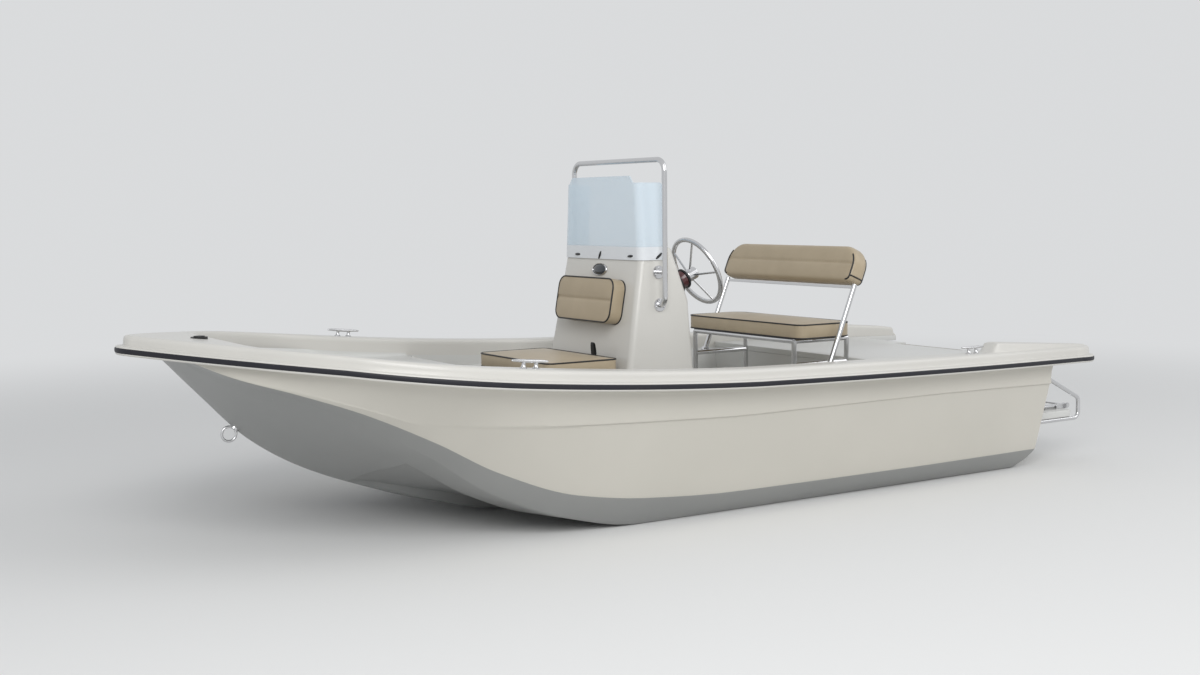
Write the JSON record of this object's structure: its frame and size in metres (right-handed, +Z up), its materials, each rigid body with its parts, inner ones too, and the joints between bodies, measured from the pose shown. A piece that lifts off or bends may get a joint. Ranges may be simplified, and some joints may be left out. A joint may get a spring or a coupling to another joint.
{
  "type": "centre console skiff",
  "caption": "Open flat-bottomed skiff with centre console, windshield, hoop rail, swing-back helm seat, front locker seat and stern boarding ladder.",
  "frame": {"origin": "centre of the overall box at its base, on the flat bottom runners", "axes": "+X towards the bow, +Y to port, +Z up"},
  "size_m": [4.8559, 2.009, 1.584],
  "materials": {
    "hull_gelcoat": "gloss",
    "deck_gelcoat": "gloss",
    "strip_rubber": "satin",
    "clear_acrylic": "gloss",
    "stainless": "polished",
    "vinyl": "satin",
    "black_plastic": "satin"
  },
  "bodies": {
    "boat": {"aft_deck": "deck_gelcoat", "bench_cushion": "vinyl", "bench_frame": "stainless", "bow_deck": "deck_gelcoat", "bow_eye": "stainless", "bow_hinge": "stainless", "bow_light": "black_plastic", "cleat_aft_port": "stainless", "cleat_aft_starboard": "stainless", "cleat_fore_port": "stainless", "cleat_fore_starboard": "stainless", "cockpit_liner": "deck_gelcoat", "console": "deck_gelcoat", "console_cushion": "vinyl", "console_vent": "stainless", "front_seat_box": "deck_gelcoat", "front_seat_hinge": "stainless", "grab_rail": "stainless", "gunwale": "deck_gelcoat", "helm": "black_plastic", "hull": "hull_gelcoat", "ladder_hinge": "stainless", "motor_board": "black_plastic", "platform_loop_inner": "stainless", "platform_loop_outer": "stainless", "platform_step": "deck_gelcoat", "rub_strip": "strip_rubber", "windshield": "clear_acrylic"},
    "wheel": {"wheel_hub": "stainless", "wheel_rim": "stainless", "wheel_spoke_1": "stainless", "wheel_spoke_2": "stainless", "wheel_spoke_3": "stainless", "wheel_spoke_4": "stainless", "wheel_spoke_5": "stainless"},
    "backrest": {"back_bar": "stainless", "back_cushion": "vinyl", "back_post_port": "stainless", "back_post_starboard": "stainless"},
    "front_lid": {"front_seat_lid": "deck_gelcoat", "front_seat_cushion": "vinyl"},
    "bow_lid": {"bow_hatch": "deck_gelcoat"},
    "ladder": {"ladder": "stainless"}
  },
  "joints": [
    {"name": "wheel_turn", "type": "hinge", "parent": "boat", "child": "wheel", "pos_m": [-0.25216, 0.2, 1.051], "axis": [-0.9114, 0, 0.4115], "range_deg": [-630, 630]},
    {"name": "backrest_swing", "type": "hinge", "parent": "boat", "child": "backrest", "pos_m": [-0.82503, 0, 0.585], "axis": [0, 1, 0], "range_deg": [0, 45.4]},
    {"name": "front_lid_lift", "type": "hinge", "parent": "boat", "child": "front_lid", "pos_m": [0.6549, 0, 0.5963], "axis": [0, 1, 0], "range_deg": [0, 95]},
    {"name": "bow_hatch_lift", "type": "hinge", "parent": "boat", "child": "bow_lid", "pos_m": [1.49219, 0, 0.6248], "axis": [0, 1, 0], "range_deg": [0, 100]},
    {"name": "ladder_fold", "type": "hinge", "parent": "boat", "child": "ladder", "pos_m": [-2.383, 0.51, 0.279], "axis": [0, -1, 0], "range_deg": [0, 240]}
  ]
}
